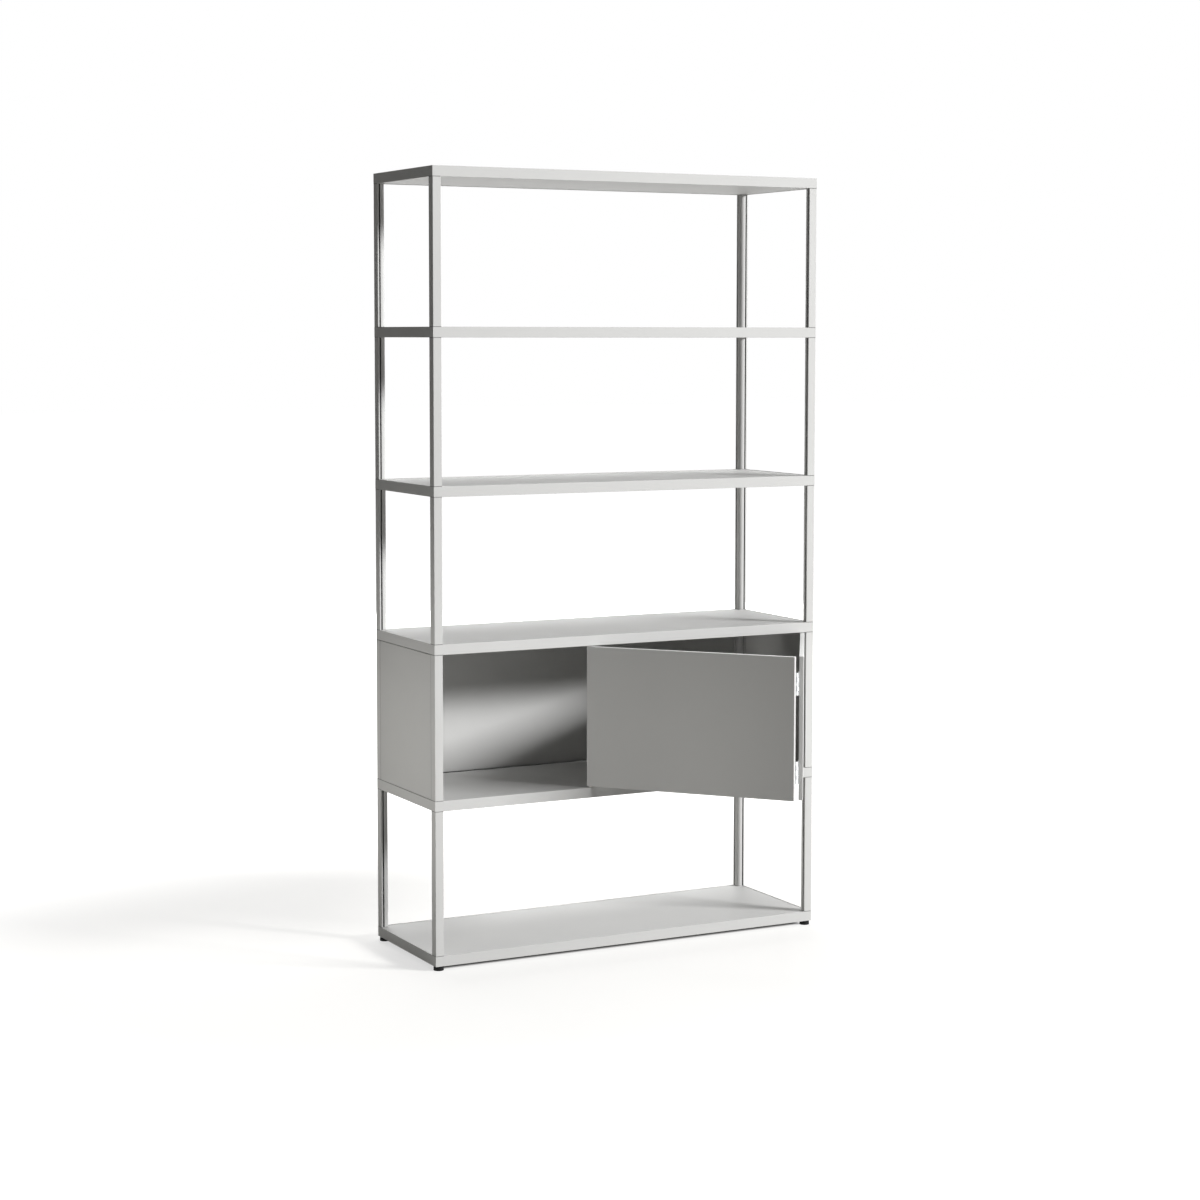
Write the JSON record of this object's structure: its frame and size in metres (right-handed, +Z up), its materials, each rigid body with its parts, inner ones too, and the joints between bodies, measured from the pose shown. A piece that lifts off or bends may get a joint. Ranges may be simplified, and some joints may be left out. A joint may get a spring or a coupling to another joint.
{
  "type": "shelving unit",
  "caption": "Tall open metal shelving unit on slim corner posts, with flat shelves, levelling feet and a closed bay behind a folding door.",
  "frame": {"origin": "on the floor under the middle of the shelf frames' footprint", "axes": "+X to the right seen from the front, +Y to the back, +Z up; the door opens towards -Y"},
  "size_m": [1, 0.7156, 1.809],
  "materials": {
    "sheet_coat": "matt powder coat, light grey",
    "frame_coat": "matt powder coat, light grey",
    "zinc_steel": "bright zinc plate",
    "foot_plastic": "black moulded plastic",
    "nylon": "natural white nylon",
    "magnet": "dark sintered magnet"
  },
  "bodies": {
    "frame": {"bay_1_posts": "frame_coat", "bay_2_posts": "frame_coat", "bay_3_posts": "frame_coat", "bay_4_posts": "frame_coat", "bay_5_posts": "frame_coat", "cabinet_back_panel": "sheet_coat", "cabinet_left_panel": "sheet_coat", "cabinet_right_panel": "sheet_coat", "door_magnets": "magnet", "door_pivot_pins": "zinc_steel", "shelf_1_corner_blocks": "frame_coat", "shelf_1_deck": "sheet_coat", "shelf_1_end_rails": "frame_coat", "shelf_1_front_and_rear_rails": "frame_coat", "shelf_1_soffit": "sheet_coat", "shelf_2_corner_blocks": "frame_coat", "shelf_2_deck": "sheet_coat", "shelf_2_end_rails": "frame_coat", "shelf_2_front_and_rear_rails": "frame_coat", "shelf_2_soffit": "sheet_coat", "shelf_3_corner_blocks": "frame_coat", "shelf_3_deck": "sheet_coat", "shelf_3_end_rails": "frame_coat", "shelf_3_front_and_rear_rails": "frame_coat", "shelf_3_soffit": "sheet_coat", "shelf_4_corner_blocks": "frame_coat", "shelf_4_deck": "sheet_coat", "shelf_4_end_rails": "frame_coat", "shelf_4_front_and_rear_rails": "frame_coat", "shelf_4_soffit": "sheet_coat", "shelf_5_corner_blocks": "frame_coat", "shelf_5_deck": "sheet_coat", "shelf_5_end_rails": "frame_coat", "shelf_5_front_and_rear_rails": "frame_coat", "shelf_5_soffit": "sheet_coat", "shelf_6_corner_blocks": "frame_coat", "shelf_6_deck": "sheet_coat", "shelf_6_end_rails": "frame_coat", "shelf_6_front_and_rear_rails": "frame_coat", "shelf_6_soffit": "sheet_coat", "tie_studs": "zinc_steel"},
    "hinge_leaf": {"hinge_leaf_shell": "sheet_coat", "hinge_leaf_cover": "sheet_coat", "fold_hinge_halves": "zinc_steel", "fold_hinge_pins": "zinc_steel", "door_pivot_bushes": "nylon"},
    "lead_leaf": {"lead_leaf_shell": "sheet_coat", "lead_leaf_cover": "sheet_coat", "fold_hinge_lead_halves": "zinc_steel", "door_glide": "nylon"},
    "foot_front_left": {"foot_pad_front_left": "foot_plastic", "foot_stem_front_left": "zinc_steel"},
    "foot_front_right": {"foot_pad_front_right": "foot_plastic", "foot_stem_front_right": "zinc_steel"},
    "foot_rear_left": {"foot_pad_rear_left": "foot_plastic", "foot_stem_rear_left": "zinc_steel"},
    "foot_rear_right": {"foot_pad_rear_right": "foot_plastic", "foot_stem_rear_right": "zinc_steel"}
  },
  "joints": [
    {"name": "door_swing", "type": "hinge", "parent": "frame", "child": "hinge_leaf", "pos_m": [0.472, -0.165, 0.5545], "axis": [0, 0, 1], "range_deg": [-57.7, 27.3]},
    {"name": "door_fold", "type": "hinge", "parent": "hinge_leaf", "child": "lead_leaf", "pos_m": [0.22523, -0.53664, 0.5545], "axis": [0, 0, 1], "range_deg": [-50.79, 107.33]},
    {"name": "foot_screw_front_left", "type": "slide", "parent": "frame", "child": "foot_front_left", "axis": [0, 0, -1], "range_m": [-0.0015, 0.008]},
    {"name": "foot_screw_front_right", "type": "slide", "parent": "frame", "child": "foot_front_right", "axis": [0, 0, -1], "range_m": [-0.0015, 0.008]},
    {"name": "foot_screw_rear_left", "type": "slide", "parent": "frame", "child": "foot_rear_left", "axis": [0, 0, -1], "range_m": [-0.0015, 0.008]},
    {"name": "foot_screw_rear_right", "type": "slide", "parent": "frame", "child": "foot_rear_right", "axis": [0, 0, -1], "range_m": [-0.0015, 0.008]}
  ],
  "couplings": [
    {"joint": "door_fold", "follows": "door_swing", "ratio": -1.86}
  ]
}
